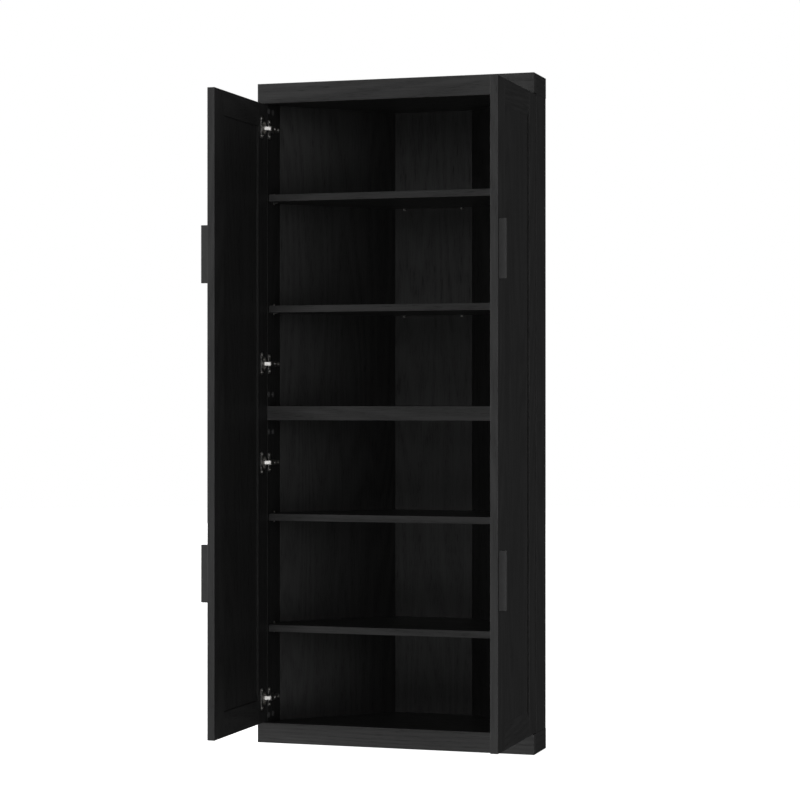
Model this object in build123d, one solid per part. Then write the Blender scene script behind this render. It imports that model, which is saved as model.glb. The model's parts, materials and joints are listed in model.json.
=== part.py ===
from build123d import *
import os
from math import sqrt

# Diagonal corner pantry cabinet, doors standing open at a right angle.
# Millimetres. X runs across, Y from the front to the back, Z up from the floor.
# Plan sizes are measured from the cabinet's centre line and from the front face of its bands.

# Carcass
WIDTH = 777
HEIGHT = 1800
DEPTH = 397
RETURN_DEPTH = 130        # outer depth of the short side walls, where the diagonals start
BOARD = 19
MIDDLE_BOARD = 38.7
BAND_HEIGHT = 54.2
BAND_PROUD = 0.7          # the bands stand this far out from the side walls
BAND_LIP = 8.2            # the bands rise this far past the floor and the top board
CARCASS_FRONT = 24        # front edges of the side walls and of the middle board
SHELF_FRONT = 29
SHELF_GAP = 1.6           # between a shelf and each wall
SHELF_HEIGHTS = (310, 614.5, 1185.5, 1490)

# Doors, closed: front face at Y 0
DOOR = 20
DOOR_REVEAL = 1.5         # gap to the bands, to the outer sides and to the centre line
STILE = 68
RAIL = 65
RAIL_FLAT = 45            # flat part of a rail's outer face, above or below its bevel
RECESS = 6                # panel set back from each face of the frame
PANEL_TONGUE = 8          # depth of the panel in the frame's groove
HINGE_PIVOT = 10          # the door turns about a line this far in from its front corner
OPEN_ANGLE = 90

# Handles
HANDLE_LENGTH = 150
HANDLE_REACH = 20
HANDLE_WIDTH = 10
HANDLE_INSET = 6          # from the door's free edge
HANDLE_ROUND = 1
HANDLE_OFFSET = 413.5     # above and below mid-height

# Concealed hinges, in plan from the outer front corner of the cabinet
HINGE_OFFSETS = (-779, -135, 135, 779)
CUP_FROM_EDGE = 24
CUP_RADIUS = 17.5
CUP_BORE = 16
CUP_DEPTH = 11.5
CUP_WALL = 0.8
FLANGE = 1.2
RIM = 1.5                 # width of the cup's rim, outside its wall
EAR_FROM_CUP = 17
EAR_WIDTH = 16
EAR_HEIGHT = 63
EAR_ROUND = 6
EAR_SCREW = 24            # above and below the cup's middle
LINK_ON_ARM = (32, 14)
LINK_TIP = (18, 4.5)
LINK_RADIUS = 1.9
LINK_HEIGHT = 9.6
LINK_PIN = 1
PIN_CLEARANCE = 0.05
ARM_CHEEK = 1.4
ARM_HEIGHT = 15
ARM_TOP = 37
ARM_FRONT = 10.2
ARM_END = 70
ARM_SCREWS = (33, 61)
CHEEK_LOW = 28
PLATE = 2.4
PLATE_HALF = 8
PLATE_END = 68
WING_ROUND = 5
WING_Y = (28, 43)
WING_HEIGHT = 54
WING_SCREW = 20
TOWER_Y = (40, 66)

# Small hardware
SCREW_HEAD = 3.6
SCREW_RISE = 1.4
SCREW_SHANK = 1.7
SCREW_LENGTH = 13
HANDLE_SCREW = 2
HANDLE_SCREW_HEAD = 4
HANDLE_SCREW_OFFSET = 64
HANDLE_SCREW_SINK = 1     # the shank starts this far inside the countersunk head
CAM_RADIUS = 7.5
CAM_DEPTH = 12.5
CAM_BOLT = 3
CAM_BOLT_GRIP = 11        # length of a cam's bolt in the neighbouring board
CAM_BRIDGE = 0.5          # wood left between a cam and its bolt
CAP_THICK = 1
PEG_RADIUS = 2.5
PEG_DEPTH = 9
CLIP_Y = 76
CLIP_HALF = 4             # half a clip's width
CLIP_PLATE = 1.2
CLIP_SHEET = 1.6          # thickness of its ledge and of its tab
CLIP_PAST = 6             # the plate runs this far past the shelf, above and below
CLIP_LEDGE = 10
CLIP_TAB = 4
REAR_PEG_X = 85
WALL_HOLE = 2.75
WALL_HOLE_RISE = 14       # above the top board

# Worked out from the above
HALF = WIDTH / 2
MID_HEIGHT = HEIGHT / 2
MIDDLE_LOW = MID_HEIGHT - MIDDLE_BOARD / 2
MIDDLE_HIGH = MID_HEIGHT + MIDDLE_BOARD / 2
FLOOR_TOP = BAND_HEIGHT - BAND_LIP
TOP_UNDERSIDE = HEIGHT - FLOOR_TOP
DOOR_LOW = BAND_HEIGHT + DOOR_REVEAL
DOOR_HIGH = HEIGHT - DOOR_LOW
DOOR_OUTER = -HALF + DOOR_REVEAL
DOOR_INNER = -DOOR_REVEAL
PIVOT = (-HALF + HINGE_PIVOT, HINGE_PIVOT)
DOOR_REACH = DOOR_INNER - PIVOT[0] - HINGE_PIVOT
MID_DEPTH = (DEPTH - DOOR_REACH) / 2    # middle of the overall depth, doors open


def block(x, y, z):
    """A box from three (low, high) pairs."""
    size = [high - low for low, high in (x, y, z)]
    return Pos(x[0], y[0], z[0]) * Box(*size, align=(Align.MIN, Align.MIN, Align.MIN))


def slab(points, low, high):
    """A flat board with a polygon outline in plan, from height low to high."""
    return extrude(Pos(0, 0, low) * make_face(Polyline(*points, close=True)), high - low)


def rod(radius, start, end):
    """A cylinder between two points."""
    path = Vector(*end) - Vector(*start)
    return extrude(Plane(origin=start, z_dir=path) * Circle(radius), path.length)


def screw(point, direction, length=SCREW_LENGTH):
    """A pan-head screw whose head sits on a face at point; direction is the way it goes in."""
    way = Vector(*direction)
    seat = Vector(*point)
    head = rod(SCREW_HEAD, seat - way * SCREW_RISE, seat)
    return head + rod(SCREW_SHANK, seat, seat + way * length)


def flip(shape):
    """The same piece for the right-hand side."""
    return mirror(shape, about=Plane.YZ)


def save(name, *shapes):
    """Writes one node, with the origin moved to the middle of the overall depth."""
    solids = [solid for shape in shapes for solid in shape.solids()]
    export_step(Pos(0, -MID_DEPTH, 0) * Compound(solids), f"parts/{name}.step")


def save_pair(name, *shapes):
    save(f"{name}_left", *shapes)
    save(f"{name}_right", *[flip(shape) for shape in shapes])


def outline(front, inset):
    """Plan corners, left front to right front, every wall moved in by inset."""
    side = HALF - inset
    back = DEPTH - inset
    diagonal = HALF + RETURN_DEPTH - inset * sqrt(2)    # X + Y along the right diagonal
    right = [(diagonal - back, back), (side, diagonal - side), (side, front)]
    left = [(-x, y) for x, y in reversed(right)]
    return left + right


def opened(shape):
    """Turns a piece of the closed left door to where the door stands open."""
    return shape.rotate(Axis((*PIVOT, 0), (0, 0, 1)), -OPEN_ANGLE)


OUTER = outline(CARCASS_FRONT, 0)
INNER = outline(CARCASS_FRONT, BOARD)


# Cam fittings ---------------------------------------------------------------

CAP_FROM_JOINT = 32
CAP_FROM_BAND = 17
CAM_DEPTHS = (34, 66)
WALL_FACE = -HALF + BOARD

# Each cam: its height, and the height of the joint that its bolt crosses.
CAMS = ((BAND_HEIGHT + CAP_FROM_BAND, BAND_HEIGHT),
        (MIDDLE_LOW - CAP_FROM_JOINT, MIDDLE_LOW),
        (MIDDLE_HIGH + CAP_FROM_JOINT, MIDDLE_HIGH),
        (HEIGHT - BAND_HEIGHT - CAP_FROM_BAND, HEIGHT - BAND_HEIGHT))


def cam_lock(y, z):
    """Zinc cam in a blind hole in the left side wall's inner face."""
    return rod(CAM_RADIUS, (WALL_FACE, y, z), (WALL_FACE - CAM_DEPTH, y, z))


def cam_cap(y, z):
    return rod(CAM_RADIUS, (WALL_FACE, y, z), (WALL_FACE + CAP_THICK, y, z))


def cam_bolt(y, z, joint):
    """Steel bolt from beside a cam, across the joint and into the neighbouring board."""
    way = 1 if joint > z else -1
    x = WALL_FACE - BOARD / 2
    return rod(CAM_BOLT, (x, y, z + way * (CAM_RADIUS + CAM_BRIDGE)),
               (x, y, joint + way * CAM_BOLT_GRIP))


cam_locks = [cam_lock(y, z) for y in CAM_DEPTHS for z, _ in CAMS]
cam_caps = [cam_cap(y, z) for y in CAM_DEPTHS for z, _ in CAMS]
cam_bolts = [cam_bolt(y, z, joint) for y in CAM_DEPTHS for z, joint in CAMS]
for name, pieces in (("cam_locks", cam_locks), ("cam_caps", cam_caps), ("cam_bolts", cam_bolts)):
    save(name, *pieces, *[flip(piece) for piece in pieces])


# Shelf supports ---------------------------------------------------------------

def clip_peg(shelf_z):
    z = shelf_z - BOARD / 2 - PEG_RADIUS
    return rod(PEG_RADIUS, (WALL_FACE - PEG_DEPTH, CLIP_Y, z), (WALL_FACE, CLIP_Y, z))


def shelf_clip(shelf_z):
    """Front support: a peg in the side wall, a ledge under the shelf and a tab over it."""
    under = shelf_z - BOARD / 2
    over = shelf_z + BOARD / 2
    y = (CLIP_Y - CLIP_HALF, CLIP_Y + CLIP_HALF)
    plate = block((WALL_FACE, WALL_FACE + CLIP_PLATE), y, (under - CLIP_PAST, over + CLIP_PAST))
    ledge = block((WALL_FACE, WALL_FACE + CLIP_LEDGE), y, (under - CLIP_SHEET, under))
    tab = block((WALL_FACE, WALL_FACE + CLIP_TAB), y, (over, over + CLIP_SHEET))
    return plate + ledge + tab + clip_peg(shelf_z)


def rear_peg(x, shelf_z):
    """Plain peg out of the back wall, under a shelf."""
    z = shelf_z - BOARD / 2 - PEG_RADIUS
    face = DEPTH - BOARD
    return rod(PEG_RADIUS, (x, face + PEG_DEPTH, z), (x, face - PEG_DEPTH, z))


rear_pegs = [rear_peg(x, z) for x in (-REAR_PEG_X, REAR_PEG_X) for z in SHELF_HEIGHTS]
save("shelf_pegs", *rear_pegs)
save_pair("shelf_clips", *[shelf_clip(z) for z in SHELF_HEIGHTS])


# Concealed hinges ---------------------------------------------------------------

def corner(x, y):
    """Plan place of a hinge point that is given from the cabinet's outer front corner."""
    return -HALF + x, y


hinge_heights = [MID_HEIGHT + offset for offset in HINGE_OFFSETS]
cup_x = DOOR_OUTER + CUP_FROM_EDGE
ear_x = cup_x + EAR_FROM_CUP
arm_top, _ = corner(ARM_TOP, 0)


def hinge_cup(z):
    """Pressed steel cup in the door, with its rim and two screw ears; door closed."""
    body = rod(CUP_RADIUS, (cup_x, DOOR, z), (cup_x, DOOR - CUP_DEPTH, z))
    rim = rod(CUP_RADIUS + RIM, (cup_x, DOOR, z), (cup_x, DOOR + FLANGE, z))
    ears = block((ear_x - EAR_WIDTH / 2, ear_x + EAR_WIDTH / 2), (DOOR, DOOR + FLANGE),
                 (z - EAR_HEIGHT / 2, z + EAR_HEIGHT / 2))
    ears = fillet(ears.edges().filter_by(Axis.Y), EAR_ROUND)
    mouth = rod(CUP_BORE, (cup_x, DOOR + 2 * FLANGE, z), (cup_x, DOOR - CUP_DEPTH + CUP_WALL, z))
    return body + rim + ears - mouth - cup_screws(z)


def cup_screws(z):
    """The two screws through a cup's ears into the door; door closed."""
    return [screw((ear_x, DOOR + FLANGE, z + dz), (0, -1, 0))
            for dz in (-EAR_SCREW, EAR_SCREW)]


def link_pin(z):
    """Pin that joins a link to its arm."""
    x, y = corner(*LINK_ON_ARM)
    half = ARM_HEIGHT / 2
    return rod(LINK_PIN, (x, y, z - half), (x, y, z + half))


def hinge_link(z):
    """Link between the arm and the cup, door open."""
    start = corner(*LINK_ON_ARM)
    end = corner(*LINK_TIP)
    low = z - LINK_HEIGHT / 2
    high = z + LINK_HEIGHT / 2
    along = (Vector(*end) - Vector(*start)).normalized() * LINK_RADIUS
    points = [(start[0] - along.Y, start[1] + along.X), (end[0] - along.Y, end[1] + along.X),
              (end[0] + along.Y, end[1] - along.X), (start[0] + along.Y, start[1] - along.X)]
    ends = [rod(LINK_RADIUS, (*point, low), (*point, high)) for point in (start, end)]
    bore = rod(LINK_PIN + PIN_CLEARANCE, (*start, low), (*start, high))
    return slab(points, low, high) + ends[0] + ends[1] - bore


def hinge_arm(z):
    """Channel-shaped arm that rides on the plate's tower, open towards the wall."""
    x_low, _ = corner(CHEEK_LOW, 0)
    half = ARM_HEIGHT / 2
    whole = block((x_low, arm_top), (ARM_FRONT, ARM_END), (z - half, z + half))
    inside = block((x_low, arm_top - ARM_CHEEK), (ARM_FRONT - 1, ARM_END + 1),
                   (z - half + ARM_CHEEK, z + half - ARM_CHEEK))
    return whole - inside - link_pin(z)


def hinge_plate(z):
    """Winged mounting plate on the side wall, with the tower that carries the arm."""
    base = block((WALL_FACE, WALL_FACE + PLATE), (WING_Y[0], PLATE_END),
                 (z - PLATE_HALF, z + PLATE_HALF))
    wings = block((WALL_FACE, WALL_FACE + PLATE), WING_Y,
                  (z - WING_HEIGHT / 2, z + WING_HEIGHT / 2))
    wings = fillet(wings.edges().filter_by(Axis.X), WING_ROUND)
    tower = block((WALL_FACE, arm_top - ARM_CHEEK), TOWER_Y,
                  (z - ARM_HEIGHT / 2 + 2 * ARM_CHEEK, z + ARM_HEIGHT / 2 - 2 * ARM_CHEEK))
    return base + wings + tower - wing_screws(z)


def wing_screws(z):
    """The two screws that hold a mounting plate to the side wall."""
    y = sum(WING_Y) / 2
    return [screw((WALL_FACE + PLATE, y, z + dz), (-1, 0, 0)) for dz in (-WING_SCREW, WING_SCREW)]


def arm_screws(z):
    """Heads of the fixing and the adjusting screw on top of an arm."""
    return [rod(SCREW_HEAD, (arm_top, y, z), (arm_top + SCREW_RISE, y, z)) for y in ARM_SCREWS]


save_pair("hinge_cups", *[opened(hinge_cup(z)) for z in hinge_heights])
save_pair("hinge_cup_screws", *[opened(part) for z in hinge_heights for part in cup_screws(z)])
save_pair("hinge_links", *[hinge_link(z) for z in hinge_heights])
save_pair("hinge_pins", *[link_pin(z) for z in hinge_heights])
save_pair("hinge_arms", *[hinge_arm(z) for z in hinge_heights])
save_pair("hinge_plates", *[hinge_plate(z) for z in hinge_heights])
save_pair("hinge_plate_screws",
          *[part for z in hinge_heights for part in wing_screws(z) + arm_screws(z)])


# Carcass ------------------------------------------------------------------------

def wall(first, low, high):
    """A wall board between plan corners first and first + 1, mitred at both ends."""
    second = first + 1
    return slab([OUTER[first], INNER[first], INNER[second], OUTER[second]], low, high)


def front_band(low):
    return block((-HALF - BAND_PROUD, HALF + BAND_PROUD), (0, BOARD), (low, low + BAND_HEIGHT))


def side_band(low):
    """Left side return of a band, which ends on the mitre of the diagonal wall."""
    proud = -HALF - BAND_PROUD
    points = [(proud, BOARD), (WALL_FACE, BOARD), INNER[1], OUTER[1], (proud, RETURN_DEPTH)]
    return slab(points, low, low + BAND_HEIGHT) - cam_bolts


for level, band_z in (("base", 0), ("top", HEIGHT - BAND_HEIGHT)):
    save(f"{level}_band_front", front_band(band_z))
    save_pair(f"{level}_band_side", side_band(band_z))

middle = slab(OUTER, MIDDLE_LOW, MIDDLE_HIGH) - cam_bolts - [flip(bolt) for bolt in cam_bolts]
save("middle_board", middle)
save("floor_board", slab(outline(BOARD, BOARD), FLOOR_TOP - BOARD, FLOOR_TOP))
save("top_board", slab(outline(BOARD, BOARD), TOP_UNDERSIDE, TOP_UNDERSIDE + BOARD))

# A hole through each upper diagonal, above the top board, takes a screw into the room's wall.
hole_z = TOP_UNDERSIDE + BOARD + WALL_HOLE_RISE
hole_x = (OUTER[1][0] + OUTER[2][0]) / 2
hole_y = (OUTER[1][1] + OUTER[2][1]) / 2
wall_hole = rod(WALL_HOLE, (hole_x - BOARD, hole_y + BOARD, hole_z),
                (hole_x + BOARD, hole_y - BOARD, hole_z))

plate_fixings = [part for z in hinge_heights for part in wing_screws(z)]
clip_pegs = [clip_peg(z) for z in SHELF_HEIGHTS]
side_fittings = cam_locks + cam_bolts + plate_fixings + clip_pegs
for unit, low, high in (("lower", 0, MIDDLE_LOW), ("upper", MIDDLE_HIGH, HEIGHT)):
    side_low = max(low, BAND_HEIGHT)
    side_high = min(high, HEIGHT - BAND_HEIGHT)
    save_pair(f"side_wall_{unit}", wall(0, side_low, side_high) - side_fittings)
    save_pair(f"diagonal_wall_{unit}", wall(1, low, high) - wall_hole)
    save(f"back_wall_{unit}", wall(2, low, high) - rear_pegs)

for number, z in enumerate(SHELF_HEIGHTS, 1):
    save(f"shelf_{number}",
         slab(outline(SHELF_FRONT, BOARD + SHELF_GAP), z - BOARD / 2, z + BOARD / 2))


# Doors, built closed on the left and turned open ----------------------------------

def rail(edge, inward):
    """A door rail from its outer edge's height; inward is 1 for the bottom rail, -1 for the top."""
    inner_edge = edge + inward * RAIL
    profile = [(0, edge), (DOOR, edge), (DOOR, inner_edge), (RECESS, inner_edge),
               (0, edge + inward * RAIL_FLAT)]
    face = Plane.YZ * make_face(Polyline(*profile, close=True))
    length = DOOR_INNER - DOOR_OUTER - 2 * STILE
    return Pos(DOOR_OUTER + STILE, 0, 0) * extrude(face, length, dir=(1, 0, 0))


def handle(z):
    """Square-section block pull beside the free edge; door closed."""
    x_high = DOOR_INNER - HANDLE_INSET
    body = block((x_high - HANDLE_WIDTH, x_high), (-HANDLE_REACH, 0),
                 (z - HANDLE_LENGTH / 2, z + HANDLE_LENGTH / 2))
    return fillet(body.edges().sort_by(Axis.Y)[:4], HANDLE_ROUND) - handle_screws(z)


def handle_screws(z):
    """Countersunk machine screws from the door's inner face into a handle; door closed."""
    x = DOOR_INNER - HANDLE_INSET - HANDLE_WIDTH / 2
    screws = []
    for dz in (-HANDLE_SCREW_OFFSET, HANDLE_SCREW_OFFSET):
        head = Pos(x, DOOR, z + dz) * Rot(90, 0, 0) * Cone(
            HANDLE_SCREW_HEAD, HANDLE_SCREW, HANDLE_SCREW_HEAD - HANDLE_SCREW,
            align=(Align.CENTER, Align.CENTER, Align.MIN))
        screws.append(head + rod(HANDLE_SCREW, (x, DOOR - HANDLE_SCREW_SINK, z + dz),
                                 (x, -HANDLE_REACH / 2, z + dz)))
    return screws


door_z = (DOOR_LOW, DOOR_HIGH)
panel = block((DOOR_OUTER + STILE - PANEL_TONGUE, DOOR_INNER - STILE + PANEL_TONGUE),
              (RECESS, DOOR - RECESS),
              (DOOR_LOW + RAIL - PANEL_TONGUE, DOOR_HIGH - RAIL + PANEL_TONGUE))
handle_heights = {"upper": MID_HEIGHT + HANDLE_OFFSET, "lower": MID_HEIGHT - HANDLE_OFFSET}
pull_screws = [part for z in handle_heights.values() for part in handle_screws(z)]
cup_seats = [rod(CUP_RADIUS, (cup_x, DOOR, z), (cup_x, DOOR - CUP_DEPTH, z)) for z in hinge_heights]
cup_fixings = [part for z in hinge_heights for part in cup_screws(z)]

hinge_stile = block((DOOR_OUTER, DOOR_OUTER + STILE), (0, DOOR), door_z)
free_stile = block((DOOR_INNER - STILE, DOOR_INNER), (0, DOOR), door_z)
save_pair("door_hinge_stile", opened(hinge_stile - panel - cup_seats - cup_fixings))
save_pair("door_free_stile", opened(free_stile - panel - pull_screws))
save_pair("door_bottom_rail", opened(rail(DOOR_LOW, 1) - panel))
save_pair("door_top_rail", opened(rail(DOOR_HIGH, -1) - panel))
save_pair("door_panel", opened(panel))
for name, z in handle_heights.items():
    save_pair(f"handle_{name}", opened(handle(z)))
save_pair("handle_screws", *[opened(part) for part in pull_screws])
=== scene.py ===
# Diagonal corner pantry cabinet in matt black wood-grain board, its two doors standing open.
# Metres. X runs across, Y from the front to the back, Z up from the floor.
import json
from math import cos, pi, radians, sin, tau

import bmesh
import bpy
from mathutils import Matrix, Vector

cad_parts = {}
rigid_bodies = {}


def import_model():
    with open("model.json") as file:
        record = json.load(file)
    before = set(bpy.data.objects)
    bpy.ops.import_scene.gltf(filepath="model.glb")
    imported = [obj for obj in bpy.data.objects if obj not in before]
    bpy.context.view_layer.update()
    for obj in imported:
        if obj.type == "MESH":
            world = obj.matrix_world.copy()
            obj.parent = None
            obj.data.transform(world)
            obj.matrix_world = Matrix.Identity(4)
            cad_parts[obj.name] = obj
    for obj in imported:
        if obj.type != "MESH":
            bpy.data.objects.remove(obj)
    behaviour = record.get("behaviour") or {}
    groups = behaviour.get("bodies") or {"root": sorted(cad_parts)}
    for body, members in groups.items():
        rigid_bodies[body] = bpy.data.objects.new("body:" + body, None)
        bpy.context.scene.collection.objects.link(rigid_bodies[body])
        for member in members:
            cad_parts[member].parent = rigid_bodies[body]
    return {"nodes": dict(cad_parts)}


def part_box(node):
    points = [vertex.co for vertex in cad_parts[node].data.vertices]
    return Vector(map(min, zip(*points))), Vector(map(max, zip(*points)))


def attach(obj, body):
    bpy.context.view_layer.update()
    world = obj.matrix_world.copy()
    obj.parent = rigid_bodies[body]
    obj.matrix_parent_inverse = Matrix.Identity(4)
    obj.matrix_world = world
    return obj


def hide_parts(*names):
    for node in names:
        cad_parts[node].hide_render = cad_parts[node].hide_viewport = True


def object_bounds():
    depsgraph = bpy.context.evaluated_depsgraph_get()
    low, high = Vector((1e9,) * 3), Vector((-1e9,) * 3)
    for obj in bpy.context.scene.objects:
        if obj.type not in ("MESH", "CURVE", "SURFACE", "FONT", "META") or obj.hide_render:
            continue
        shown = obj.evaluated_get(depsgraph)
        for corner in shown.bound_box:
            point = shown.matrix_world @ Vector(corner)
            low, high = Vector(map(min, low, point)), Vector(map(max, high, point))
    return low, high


for stray in list(bpy.data.objects):
    bpy.data.objects.remove(stray)
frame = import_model()
cad_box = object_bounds()
part = frame["nodes"]

# Carcass boards -------------------------------------------------------------------
# Nineteen-millimetre particle board, faced on both sides with a matt black film that is embossed
# with open wood grain. The boards are cut to a mitre where the walls meet, joined with cams, and
# their edges are eased by less than a millimetre, where a paler film is laid on as a painted highlight.
BOARD_BLACK = 0.030
# paler film for the eased edges: a painted highlight along them
EDGE_HIGHLIGHT_BLACK = 0.034
FILM_ROUGHNESS = 0.45
BOARD_EASE = 0.0005
EASE_STEPS = 2
SAME_POINT = 0.00002
SHARP = radians(30)
FLAT = radians(0.5)
SLOW_GRAIN = 5.0          # broad figure, in waves per metre across the board
GRAIN_RINGS = 24.0        # growth lines in one wave of the figure
FIBRE_GRAIN = 420.0       # fine fibres, per metre across the board
PORE_GRAIN = 950.0
FIGURE_STRETCH = 0.09     # the figure is this much slower along the board than across it
FIBRE_STRETCH = 0.018
PORE_STRETCH = 0.03
FIGURE_DETAIL = 1.5
FIBRE_DETAIL = 3.0
PORE_DETAIL = 1.0
PATCH_DETAIL = 2.0
PORE_NOISE = (0.56, 0.66)        # from whole film to an open pore
CLOSED_PORES = 0.3               # how far the pores still open in the late wood
FIGURE_TONES = (0.86, 1.16)      # darkest and palest, against the film's own black
FIBRE_TONES = (0.9, 1.1)
PATCH_TONES = (0.95, 1.05)
PORE_TONE = 0.55
PORE_ROUGHNESS = 0.8
FIBRE_ROUGHNESS = (-0.04, 0.06)  # added to the film's roughness
FIBRE_RELIEF = 0.45
LATE_WOOD_RELIEF = 0.3
PORE_RELIEF = 0.6
RELIEF_STRENGTH = 0.55
PORE_PIT = 0.00016               # depth of the embossing
FRONT_PAINTED_LIGHT = 1.8                  # painted light: a face that faces the front is made this much paler than the others
FACING_FRONT = -0.9
PIECE_SHIFT = (0.37, 0.53, 1.91) # step through the grain from one piece's number to the next


def add(tree, kind, inputs=None, **settings):
    """Adds a shader node. A socket among the inputs is linked, and anything else is set."""
    made = tree.nodes.new("ShaderNode" + kind)
    for name, value in settings.items():
        setattr(made, name, value)
    for name, value in (inputs or {}).items():
        if isinstance(value, bpy.types.NodeSocket):
            tree.links.new(value, made.inputs[name])
        else:
            made.inputs[name].default_value = value
    return made


def sums(tree, operation, first, second):
    """One step of arithmetic on the values that a finish is made of."""
    return add(tree, "Math", {0: first, 1: second}, operation=operation).outputs[0]


def between(tree, value, low, high, to_low=0.0, to_high=1.0):
    """Stretches the range low to high of a value over to_low to to_high."""
    limits = {"Value": value, "From Min": low, "From Max": high, "To Min": to_low, "To Max": to_high}
    return add(tree, "MapRange", limits).outputs[0]


def blank_finish(name):
    finish = bpy.data.materials.new(name)
    finish.use_nodes = True
    return finish, finish.node_tree, finish.node_tree.nodes["Principled BSDF"]


def grey(tree, value):
    """A neutral colour as bright as the value."""
    return add(tree, "CombineColor", {"Red": value, "Green": value, "Blue": value}).outputs[0]


def spot_on_piece(tree):
    """Place on a piece in its own frame, shifted by the piece's number so that no two boards match."""
    place = add(tree, "TexCoord").outputs["Object"]
    number = add(tree, "ObjectInfo").outputs["Object Index"]
    shift = add(tree, "VectorMath", {0: PIECE_SHIFT, "Scale": number}, operation="SCALE")
    return add(tree, "VectorMath", {0: place, 1: shift.outputs[0]}, operation="ADD").outputs[0]


def embossed_film(name, grain, black, painted_front_light=False):
    """Matt black film with wood grain along the axis named grain; if asked, faces that face the front
    are painted paler, a painted highlight.
    """
    finish, tree, shader = blank_finish(name)
    place = spot_on_piece(tree)

    def grained(waves, stretch, detail):
        scale = [waves] * 3
        scale["XYZ".index(grain)] = waves * stretch
        spot = add(tree, "VectorMath", {0: place, 1: scale}, operation="MULTIPLY").outputs[0]
        noise = add(tree, "TexNoise", {"Vector": spot, "Scale": 1.0, "Detail": detail})
        return noise.outputs["Fac"]

    slow = grained(SLOW_GRAIN, FIGURE_STRETCH, FIGURE_DETAIL)
    wave = sums(tree, "SINE", sums(tree, "MULTIPLY", slow, GRAIN_RINGS * tau), 0.0)
    figure = between(tree, wave, -1.0, 1.0)
    fibre = grained(FIBRE_GRAIN, FIBRE_STRETCH, FIBRE_DETAIL)
    pores = between(tree, grained(PORE_GRAIN, PORE_STRETCH, PORE_DETAIL), *PORE_NOISE)
    late_wood = sums(tree, "MULTIPLY", figure, between(tree, fibre, 0.3, 0.6))
    open_pores = sums(tree, "MULTIPLY", pores, between(tree, late_wood, 0.0, 0.6, 1.0, CLOSED_PORES))

    patch = grained(SLOW_GRAIN / 2, 1.0, PATCH_DETAIL)
    dark, pale = FIGURE_TONES
    tone = between(tree, late_wood, 0.0, 0.8, black * dark, black * pale)
    tone = sums(tree, "MULTIPLY", tone, between(tree, fibre, 0.25, 0.75, *FIBRE_TONES))
    tone = sums(tree, "MULTIPLY", tone, between(tree, patch, 0.3, 0.7, *PATCH_TONES))
    tone = sums(tree, "MULTIPLY", tone, between(tree, open_pores, 0.0, 1.0, 1.0, PORE_TONE))
    # painted light: faces whose normal points to the front are made paler, standing in for the light
    # they catch
    if painted_front_light:
        facing = add(tree, "SeparateXYZ", {"Vector": add(tree, "TexCoord").outputs["Normal"]})
        front = sums(tree, "LESS_THAN", facing.outputs["Y"], FACING_FRONT)
        tone = sums(tree, "MULTIPLY", tone, between(tree, front, 0.0, 1.0, 1.0, FRONT_PAINTED_LIGHT))
    rough = sums(tree, "ADD", between(tree, open_pores, 0.0, 1.0, FILM_ROUGHNESS, PORE_ROUGHNESS),
                 between(tree, fibre, 0.3, 0.7, *FIBRE_ROUGHNESS))
    height = sums(tree, "ADD", sums(tree, "MULTIPLY", fibre, FIBRE_RELIEF),
                  sums(tree, "MULTIPLY", late_wood, LATE_WOOD_RELIEF))
    height = sums(tree, "SUBTRACT", height, sums(tree, "MULTIPLY", open_pores, PORE_RELIEF))
    relief = {"Height": height, "Strength": RELIEF_STRENGTH, "Distance": PORE_PIT}
    bump = add(tree, "Bump", relief)
    tree.links.new(grey(tree, tone), shader.inputs["Base Color"])
    tree.links.new(rough, shader.inputs["Roughness"])
    tree.links.new(bump.outputs[0], shader.inputs["Normal"])
    return finish


def ease_edges(piece, width, edge_finish=False):
    """Rounds a piece's sharp edges; with edge_finish, the rounding takes the piece's second finish."""
    weld = piece.modifiers.new("joined faces", "WELD")
    weld.merge_threshold = SAME_POINT
    whole = piece.modifiers.new("whole flat faces", "DECIMATE")
    whole.decimate_type = "DISSOLVE"
    whole.angle_limit = FLAT
    ease = piece.modifiers.new("eased edges", "BEVEL")
    ease.width = width
    ease.segments = EASE_STEPS
    ease.angle_limit = SHARP
    ease.use_clamp_overlap = False
    ease.material = 1 if edge_finish else -1
    flats = piece.modifiers.new("flat faces", "WEIGHTED_NORMAL")
    flats.keep_sharp = False
    flats.weight = 100


def finish_with(piece, *finishes):
    """Gives a piece its finish, and a second one for its eased edges."""
    piece.data.materials.clear()
    for finish in finishes:
        piece.data.materials.append(finish)


def face_board(name, film):
    """Faces one board, and gives its eased edges a paler film, a painted highlight."""
    board = part[name]
    board.pass_index = sorted(part).index(name)
    finish_with(board, film, painted_edge_highlight)
    ease_edges(board, BOARD_EASE, edge_finish=True)


film_upright = embossed_film("black_film_upright_grain", "Z", BOARD_BLACK)
film_across = embossed_film("black_film_grain_across", "X", BOARD_BLACK)
film_to_back = embossed_film("black_film_grain_front_to_back", "Y", BOARD_BLACK)
# the eased edges' film, paler than the faces: a painted highlight
painted_edge_highlight = embossed_film("black_film_painted_edge_highlight", "Z", EDGE_HIGHLIGHT_BLACK)

for unit in ("lower", "upper"):
    for side in ("left", "right"):
        face_board(f"side_wall_{unit}_{side}", film_upright)
        face_board(f"diagonal_wall_{unit}_{side}", film_upright)
    face_board(f"back_wall_{unit}", film_upright)
# film with painted light on its front-facing faces, for the middle board and the shelves
film_painted_front_light = embossed_film("black_film_painted_front_light", "X", BOARD_BLACK, painted_front_light=True)
face_board("floor_board", film_across)
face_board("top_board", film_across)
face_board("middle_board", film_painted_front_light)

# Bands ----------------------------------------------------------------------------
# A band round the foot and one round the head, of the same board with its grain lying along it.
# Each has a long front and two short returns, and stands less than a millimetre proud of the walls.
BAND_BLACK = 0.038

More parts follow.
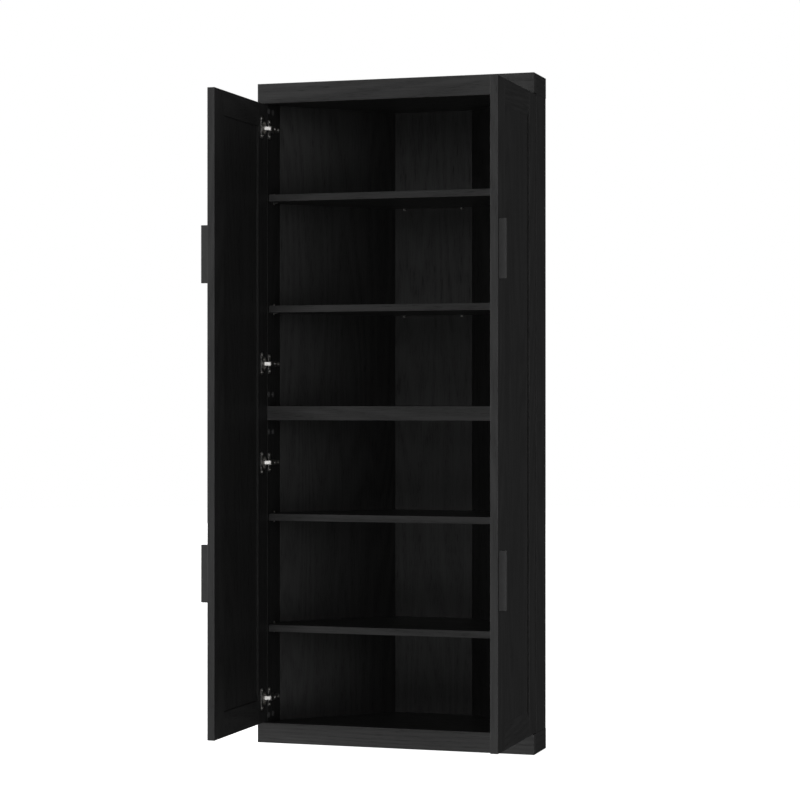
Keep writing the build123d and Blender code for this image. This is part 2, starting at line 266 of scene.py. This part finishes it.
band_film = embossed_film("black_band_film", "X", BAND_BLACK)
for band in ("base", "top"):
    face_board(f"{band}_band_front", band_film)
    for side in ("left", "right"):
        face_board(f"{band}_band_side_{side}", film_to_back)

# Shelves --------------------------------------------------------------------------
# Four loose shelves of the same board, cut to the walls with a small gap all round, with their
# grain running across. Their front edges are banded with the same film, painted paler where they face
# the front to stand in for the light they catch.
for number in range(1, 5):
    face_board(f"shelf_{number}", film_painted_front_light)

# Doors ----------------------------------------------------------------------------
# Each door is a frame of two stiles and two rails round a sunk panel, all covered in the film.
# The grain of a rail lies along the rail, and that of the stiles and the panel stands upright.
DOOR_BLACK = 0.030
PANEL_BLACK = 0.028

stile_film = embossed_film("black_door_film_upright", "Z", DOOR_BLACK)
rail_film = embossed_film("black_door_film_across", "Y", DOOR_BLACK)
panel_film = embossed_film("black_panel_film", "Z", PANEL_BLACK)
for side in ("left", "right"):
    for stile in ("hinge_stile", "free_stile"):
        face_board(f"door_{stile}_{side}", stile_film)
    for rail in ("top_rail", "bottom_rail"):
        face_board(f"door_{rail}_{side}", rail_film)
    face_board(f"door_panel_{side}", panel_film)

# Pulls ----------------------------------------------------------------------------
# Square steel bars with a matt black powder coat, which is slightly pebbled. Two machine screws
# through the door hold each one.
POWDER_BLACK = 0.043
PEBBLE = 1400.0
PEBBLE_RISE = 0.00006
PEBBLE_ROUGHNESS = (0.42, 0.56)
DUST_GRAIN = 60.0
DUST_TONES = (0.92, 1.08)    # darkest and palest, against the coat's own black
PULL_EASE = 0.0005

powder_coat, tree, shader = blank_finish("black_powder_coat")
place = spot_on_piece(tree)
pebble = add(tree, "TexNoise", {"Vector": place, "Scale": PEBBLE, "Detail": 2.0}).outputs["Fac"]
dust = add(tree, "TexNoise", {"Vector": place, "Scale": DUST_GRAIN, "Detail": 4.0}).outputs["Fac"]
tone = between(tree, dust, 0.3, 0.7, *[POWDER_BLACK * share for share in DUST_TONES])
tree.links.new(grey(tree, tone), shader.inputs["Base Color"])
tree.links.new(between(tree, pebble, 0.3, 0.7, *PEBBLE_ROUGHNESS), shader.inputs["Roughness"])
bump = add(tree, "Bump", {"Height": pebble, "Strength": 0.6, "Distance": PEBBLE_RISE})
tree.links.new(bump.outputs[0], shader.inputs["Normal"])
for side in ("left", "right"):
    for level in ("upper", "lower"):
        pull = part[f"handle_{level}_{side}"]
        finish_with(pull, powder_coat)
        ease_edges(pull, PULL_EASE)

# Hinges ---------------------------------------------------------------------------
# Four concealed hinges a side, pressed from steel strip and nickel plated: a cup let into the door,
# a link on a pin, and a channel-shaped arm screwed to a winged plate on the side wall.
NICKEL = (0.76, 0.75, 0.73, 1.0)
NICKEL_SHADE = (0.62, 0.6, 0.57, 1.0)
CLOUD_GRAIN = 350.0
ROLLED_GRAIN = (4000.0, 60.0, 4000.0)
ROLLED_RISE = 0.00003
NICKEL_ROUGHNESS = (0.24, 0.38)
NICKEL_EASE = 0.0003
INNER_HINGE = 0.135       # the middle hinges' distance from mid-height
ARM_HEIGHT = 0.015
ARM_WALL = 0.0014
ARM_SHOULDER = 0.0022     # outer radius of the bends along the arm
ARM_NOSE_DROP = 0.0014
ARM_WAIST = 0.0062        # half height of the arm's rear end
ARM_SCREWS = (0.018, 0.046)      # how far behind the frame's middle an arm's screws stand
ARM_TURN_IN = 0.0012      # length of the nose's rounded tip
ARM_NOSE = 0.006          # the nose rises to the arm's full height over this length
ARM_NARROWING = (0.027, 0.017)   # where the arm narrows, from its rear end
ARM_TAIL = 0.0015
SLOT = (0.0028, 0.0065)   # half width and half length of an adjusting slot
SLOT_STEPS = 6
EAR_SCREW = 0.024         # above and below the middle of a hinge
WING_SCREW = 0.02
WING_BEHIND = 0.0025      # the wing screws stand this far behind the arm's first screw
WING_THICK = 0.0024
HEAD = 0.0036
HEAD_RISE = 0.0014
SHANK = 0.0017
SCREW_REACH = 0.012
CROSS = (0.00055, 0.0022)   # half width and reach of a cross recess
CROSS_DEPTH = 0.001
EAR_TURNS = (9, 40)       # turn of a cross, in radians a metre, so that no two stand alike
PLATE_TURNS = (7, 50)
TURNED_STEPS = 32

nickel, tree, shader = blank_finish("nickel_plate")
place = spot_on_piece(tree)
cloud = add(tree, "TexNoise", {"Vector": place, "Scale": CLOUD_GRAIN, "Detail": 4.0}).outputs["Fac"]
rolled = add(tree, "VectorMath", {0: place, 1: ROLLED_GRAIN}, operation="MULTIPLY")
lines = add(tree, "TexNoise", {"Vector": rolled.outputs[0], "Scale": 1.0, "Detail": 2.0})
tint = add(tree, "MixRGB", {"Color1": NICKEL, "Color2": NICKEL_SHADE,
                            "Fac": between(tree, cloud, 0.45, 0.75)})
shader.inputs["Metallic"].default_value = 1.0
tree.links.new(tint.outputs[0], shader.inputs["Base Color"])
tree.links.new(between(tree, cloud, 0.3, 0.7, *NICKEL_ROUGHNESS), shader.inputs["Roughness"])
bump = add(tree, "Bump", {"Height": lines.outputs["Fac"], "Strength": 0.25, "Distance": ROLLED_RISE})
tree.links.new(bump.outputs[0], shader.inputs["Normal"])
for name in part:
    if name.startswith(("hinge_", "shelf_clips", "shelf_pegs", "cam_locks", "cam_bolts")):
        finish_with(part[name], nickel)
        ease_edges(part[name], NICKEL_EASE)


def made_mesh(name, shape):
    """Turns a shape's faces outwards and keeps it as a mesh."""
    bmesh.ops.recalc_face_normals(shape, faces=shape.faces)
    mesh = bpy.data.meshes.new(name)
    shape.to_mesh(mesh)
    shape.free()
    return mesh


def skinned(name, rings, ends=()):
    """A surface over rings of points, with more faces given as rows of (ring, point) pairs."""
    shape = bmesh.new()
    knots = [[shape.verts.new(point) for point in ring] for ring in rings]
    for ring, ahead in zip(knots, knots[1:]):
        for step in range(max(len(ring), len(ahead))):
            after = step + 1
            corners = [ring[step % len(ring)], ring[after % len(ring)],
                       ahead[after % len(ahead)], ahead[step % len(ahead)]]
            shape.faces.new(list(dict.fromkeys(corners)))
    for end in ends:
        shape.faces.new([knots[ring][point] for ring, point in end])
    return made_mesh(name, shape)


def turned(name, outline):
    """A solid turned about the Z axis; the outline is (radius, height) points from axis to axis."""
    turns = [tau * step / TURNED_STEPS for step in range(TURNED_STEPS)]
    return skinned(name, [[(radius * cos(turn), radius * sin(turn), height) for turn in turns]
                          if radius else [(0, 0, height)] for radius, height in outline])


def prism(name, outline, low, high, taper=1.0):
    """A solid with a polygon outline between two heights; taper scales its low end."""
    ends = [[(ring, point) for point in range(len(outline))] for ring in (0, 1)]
    return skinned(name, [[(x * taper, y * taper, low) for x, y in outline],
                          [(x, y, high) for x, y in outline]], ends)


def cut(mesh, *cutters):
    """The mesh with the cutters' shapes taken out of it."""
    blank = bpy.data.objects.new("blank", mesh)
    tools = [bpy.data.objects.new("tool", cutter) for cutter in cutters]
    for piece in (blank, *tools):
        bpy.context.scene.collection.objects.link(piece)
    for tool in tools:
        bite = blank.modifiers.new("bite", "BOOLEAN")
        bite.object = tool
    bitten = blank.evaluated_get(bpy.context.evaluated_depsgraph_get())
    result = bpy.data.meshes.new_from_object(bitten)
    for piece in (blank, *tools):
        bpy.data.objects.remove(piece)
    return result


def set_down(point, way, turn=0.0):
    """Places a piece made about the Z axis: origin at the point, top facing the way, turned about it."""
    facing = Vector(way).to_track_quat("Z", "Y").to_matrix().to_4x4()
    return Matrix.Translation(point) @ facing @ Matrix.Rotation(turn, 4, "Z")


def copies(name, mesh, places, finish, body, node):
    """Copies of a mesh, one for each place, as one piece that stands for a node of the frame."""
    shape = bmesh.new()
    for place in places:
        copy = mesh.copy()
        copy.transform(place)
        shape.from_mesh(copy)
        bpy.data.meshes.remove(copy)
    piece = bpy.data.objects.new(name, made_mesh(name, shape))
    piece.data.shade_smooth()
    piece.data.set_sharp_from_angle(angle=SHARP)
    bpy.context.scene.collection.objects.link(piece)
    finish_with(piece, finish)
    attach(piece, body)
    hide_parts(node)


cross_outline = [(reach * cos(turn) - out * sin(turn), reach * sin(turn) + out * cos(turn))
                 for turn in (0, pi / 2, pi, 3 * pi / 2)
                 for reach, out in ((CROSS[1], -CROSS[0]), (CROSS[1], CROSS[0]),
                                    (CROSS[0], CROSS[0]))]
pan_screw = cut(
    turned("pan_screw", [(0, HEAD_RISE), (HEAD * 0.45, HEAD_RISE), (HEAD * 0.75, HEAD_RISE * 0.86),
                         (HEAD * 0.92, HEAD_RISE * 0.58), (HEAD, HEAD_RISE * 0.2), (HEAD, 0),
                         (SHANK, 0), (SHANK, -SCREW_REACH * 0.8), (0, -SCREW_REACH)]),
    prism("cross", cross_outline, HEAD_RISE - CROSS_DEPTH, HEAD_RISE * 1.5, taper=0.6))

middle = (cad_box[0].z + cad_box[1].z) / 2
arm_low, arm_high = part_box("hinge_arms_left")
ear_low, ear_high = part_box("hinge_cup_screws_left")
wall_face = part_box("side_wall_lower_left")[1].x
wing_screw_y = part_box("hinge_plate_screws_left")[0].y + HEAD + WING_BEHIND
outer_hinge = (arm_high.z - arm_low.z - ARM_HEIGHT) / 2
hinge_heights = [middle + rise for rise in (-outer_hinge, -INNER_HINGE, INNER_HINGE, outer_hinge)]


def arm_section(y, half, top):
    """A cross-section of an arm, open towards the wall: its outside, then its inside."""
    sheet = []
    for inside in (0.0, ARM_WALL):
        bend = ARM_SHOULDER - inside
        high = half - inside
        out = top - inside
        shoulders = [(out - bend + bend * cos(turn), side * (high - bend + bend * sin(turn)))
                     for side, turns in ((-1, (pi / 2, pi / 4, 0)), (1, (0, pi / 4, pi / 2)))
                     for turn in turns]
        row = [(arm_low.x, -high), *shoulders, (arm_low.x, high)]
        sheet += row if inside == 0.0 else row[::-1]
    return [(x, y, z) for x, z in sheet]


half = ARM_HEIGHT / 2
top, front, rear = arm_high.x, arm_low.y, arm_high.y
stations = [(front, half * 0.9, top - ARM_NOSE_DROP),
            (front + ARM_TURN_IN, half, top - ARM_NOSE_DROP * 0.6), (front + ARM_NOSE, half, top),
            (rear - ARM_NARROWING[0], half, top), (rear - ARM_NARROWING[1], ARM_WAIST, top),
            (rear - ARM_TAIL, ARM_WAIST, top), (rear, ARM_WAIST * 0.95, top - ARM_NOSE_DROP / 2)]
sections = [arm_section(*station) for station in stations]
last = len(sections[0]) - 1
ends = [[(ring, step), (ring, step + 1), (ring, last - step - 1), (ring, last - step)]
        for ring in (0, len(sections) - 1) for step in range(last // 2)]
half_slot, slot_reach = SLOT
slot_outline = [(half_slot * cos(turn), side * slot_reach + half_slot * sin(turn))
                for side, first in ((1, 0), (-1, pi))
                for turn in [first + pi * step / SLOT_STEPS for step in range(SLOT_STEPS + 1)]]
slots = []
for y in ARM_SCREWS:
    slots.append(prism("slot", slot_outline, -HEAD, HEAD))
    slots[-1].transform(set_down((top, y, 0), (1, 0, 0), pi / 2))
arm = cut(skinned("arm", sections, ends), *slots)

for side, hand in (("left", 1), ("right", -1)):
    mirrored = Matrix.Scale(hand, 4, (1, 0, 0))
    inwards = (hand, 0, 0)
    copies(f"pressed_arms_{side}", arm,
           [mirrored @ Matrix.Translation((0, 0, z)) for z in hinge_heights],
           nickel, "carcass", f"hinge_arms_{side}")
    copies(f"cup_cross_screws_{side}", pan_screw,
           [set_down((hand * (ear_high.x - HEAD_RISE), (ear_low.y + ear_high.y) / 2, z + rise),
                     inwards, z * EAR_TURNS[0] + rise * EAR_TURNS[1])
            for z in hinge_heights for rise in (-EAR_SCREW, EAR_SCREW)],
           nickel, f"door_{side}", f"hinge_cup_screws_{side}")
    on_wings = [(wall_face + WING_THICK, wing_screw_y, z + rise)
                for z in hinge_heights for rise in (-WING_SCREW, WING_SCREW)]
    on_arms = [(top, y, z) for z in hinge_heights for y in ARM_SCREWS]
    copies(f"plate_cross_screws_{side}", pan_screw,
           [set_down((hand * x, y, z), inwards, z * PLATE_TURNS[0] + y * PLATE_TURNS[1])
            for x, y, z in on_wings + on_arms],
           nickel, "carcass", f"hinge_plate_screws_{side}")

# Cam caps -------------------------------------------------------------------------
# Thin black plastic caps, moulded with a dished middle. Each is pressed over a cam in the inner
# face of a side wall, two beside each joint.
CAP_BLACK = (0.16, 0.16, 0.165, 1.0)
SCUFFED_BLACK = (0.11, 0.11, 0.11, 1.0)
CAP = 0.0075
CAP_RISE = 0.001
CAM_FROM_MIDDLE_BOARD = 0.032
MATT_GRAIN = 900.0
MATT_RISE = 0.00004
CAP_ROUGHNESS = (0.3, 0.42)
SCUFF_GRAIN = 160.0

cap_plastic, tree, shader = blank_finish("black_cap_plastic")
place = spot_on_piece(tree)
matt = add(tree, "TexNoise", {"Vector": place, "Scale": MATT_GRAIN, "Detail": 3.0}).outputs["Fac"]
scuffs = add(tree, "TexNoise", {"Vector": place, "Scale": SCUFF_GRAIN, "Detail": 2.0}).outputs["Fac"]
tint = add(tree, "MixRGB", {"Color1": CAP_BLACK, "Color2": SCUFFED_BLACK, "Fac": scuffs})
tree.links.new(tint.outputs[0], shader.inputs["Base Color"])
tree.links.new(between(tree, matt, 0.3, 0.7, *CAP_ROUGHNESS), shader.inputs["Roughness"])
bump = add(tree, "Bump", {"Height": matt, "Strength": 0.3, "Distance": MATT_RISE})
tree.links.new(bump.outputs[0], shader.inputs["Normal"])

cap_low, cap_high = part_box("cam_caps")
board_low, board_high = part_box("middle_board")
dished_cap = turned("dished_cap", [(0, CAP_RISE * 0.35), (CAP * 0.55, CAP_RISE * 0.4),
                                   (CAP * 0.72, CAP_RISE * 0.9), (CAP * 0.82, CAP_RISE),
                                   (CAP * 0.93, CAP_RISE * 0.92), (CAP, CAP_RISE * 0.5),
                                   (CAP, 0), (0, 0)])
cap_places = [set_down((hand * wall_face, y, z), (hand, 0, 0))
              for hand in (1, -1)
              for y in (cap_low.y + CAP, cap_high.y - CAP)
              for z in (cap_low.z + CAP, board_low.z - CAM_FROM_MIDDLE_BOARD,
                        board_high.z + CAM_FROM_MIDDLE_BOARD, cap_high.z - CAP)]
copies("dished_caps", dished_cap, cap_places, cap_plastic, "carcass", "cam_caps")

# Pull screws ----------------------------------------------------------------------
# Blackened steel machine screws with countersunk heads and cross recesses. They are driven from
# the doors' inner faces, two into each pull.
SINK_HEAD = 0.004
SINK_SHANK = 0.002
SINK_REACH = 0.03
SINK_EDGE = 0.0002
PULL_SCREW = 0.064        # from the middle of a pull
PULL_TURN = 30            # turn of a cross, in radians a metre
SMUT_GRAIN = 500.0
SMUT_TONES = (0.03, 0.055)
SMUT_ROUGHNESS = (0.35, 0.5)

black_steel, tree, shader = blank_finish("blackened_steel")
place = spot_on_piece(tree)
smut = add(tree, "TexNoise", {"Vector": place, "Scale": SMUT_GRAIN, "Detail": 4.0}).outputs["Fac"]
shader.inputs["Metallic"].default_value = 0.6
tree.links.new(grey(tree, between(tree, smut, 0.3, 0.7, *SMUT_TONES)), shader.inputs["Base Color"])
tree.links.new(between(tree, smut, 0.3, 0.7, *SMUT_ROUGHNESS), shader.inputs["Roughness"])

sunk_screw = cut(
    turned("sunk_screw", [(0, 0), (SINK_HEAD * 0.95, 0), (SINK_HEAD, -SINK_EDGE),
                          (SINK_SHANK, SINK_SHANK - SINK_HEAD), (SINK_SHANK, -SINK_REACH * 0.97),
                          (SINK_SHANK * 0.7, -SINK_REACH), (0, -SINK_REACH)]),
    prism("cross", cross_outline, -CROSS_DEPTH, CROSS_DEPTH, taper=0.6))
for side, hand in (("left", 1), ("right", -1)):
    screw_low, screw_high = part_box(f"handle_screws_{side}")
    places = []
    for level in ("upper", "lower"):
        pull_low, pull_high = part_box(f"handle_{level}_{side}")
        for rise in (-PULL_SCREW, PULL_SCREW):
            point = (-hand * min(abs(screw_low.x), abs(screw_high.x)),
                     (screw_low.y + screw_high.y) / 2, (pull_low.z + pull_high.z) / 2 + rise)
            places.append(set_down(point, (hand, 0, 0), rise * PULL_TURN))
    copies(f"pull_cross_screws_{side}", sunk_screw, places, black_steel, f"door_{side}",
           f"handle_screws_{side}")

# Studio ---------------------------------------------------------------------------
# A plain white floor and room, round soft boxes well away from the cabinet, one of them under the
# floor in place of the light that a white floor throws back, one behind for the back boards, and a
# long lens at waist height.
WAIST_HEIGHT = 0.9
SOFT_BOX = 8.0
SOFT_BOX_DISTANCE = 11.0
FLOOR_WHITE = (0.9, 0.9, 0.9, 1.0)
FLOOR_GLOW = 1.05
FLOOR_RADIUS = 14.0
WHITE = (1.0, 1.0, 1.0, 1.0)
LENS = 104.6              # millimetres, on a sensor 36 wide
SENSOR = 36.0
CAMERA_PLACE = (1.8805, -5.967, 0.936)
CAMERA_TURN = 17.37       # degrees
# Each soft box: its turn to the right, its rise, both in degrees, and its power in watts.
SOFT_BOXES = {"far_left_box": (-75, 0, 1250), "front_box": (-3, 25, 172),
              "floor_bounce": (-3, -30, 182), "right_box": (55, 0, 195), "side_box": (95, 0, 285),
              "rear_box": (-145, 10, 260)}

for name, (turn, rise, watts) in SOFT_BOXES.items():
    lamp = bpy.data.lights.new(name, "AREA")
    lamp.shape = "DISK"
    lamp.size = SOFT_BOX
    lamp.energy = watts
    soft_box = bpy.data.objects.new(name, lamp)
    bpy.context.scene.collection.objects.link(soft_box)
    out = cos(radians(rise))
    way = Vector((sin(radians(turn)) * out, -cos(radians(turn)) * out, sin(radians(rise))))
    soft_box.location = Vector((0, 0, WAIST_HEIGHT)) + way * SOFT_BOX_DISTANCE
    soft_box.rotation_euler = (-way).to_track_quat("-Z", "Y").to_euler()
    soft_box.visible_camera = False

floor_paint, tree, shader = blank_finish("white_floor")
shader.inputs["Base Color"].default_value = FLOOR_WHITE
shader.inputs["Emission Color"].default_value = WHITE
shader.inputs["Emission Strength"].default_value = FLOOR_GLOW
floor_mesh = bpy.data.meshes.new("floor")
shape = bmesh.new()
bmesh.ops.create_circle(shape, cap_ends=True, segments=96, radius=FLOOR_RADIUS)
shape.to_mesh(floor_mesh)
shape.free()
floor = bpy.data.objects.new("floor", floor_mesh)
floor.data.materials.append(floor_paint)
bpy.context.scene.collection.objects.link(floor)
floor.visible_diffuse = False
floor.visible_glossy = False
floor.visible_shadow = False

world = bpy.data.worlds.new("white_room")
world.use_nodes = True
world.node_tree.nodes["Background"].inputs["Color"].default_value = WHITE
world.cycles_visibility.diffuse = False
world.cycles_visibility.glossy = False
bpy.context.scene.world = world
bpy.context.scene.view_settings.view_transform = "Standard"

lens = bpy.data.cameras.new("camera")
lens.sensor_width = SENSOR
lens.lens = LENS
camera = bpy.data.objects.new("camera", lens)
bpy.context.scene.collection.objects.link(camera)
camera.location = CAMERA_PLACE
camera.rotation_euler = (radians(90), 0, radians(CAMERA_TURN))
bpy.context.scene.camera = camera
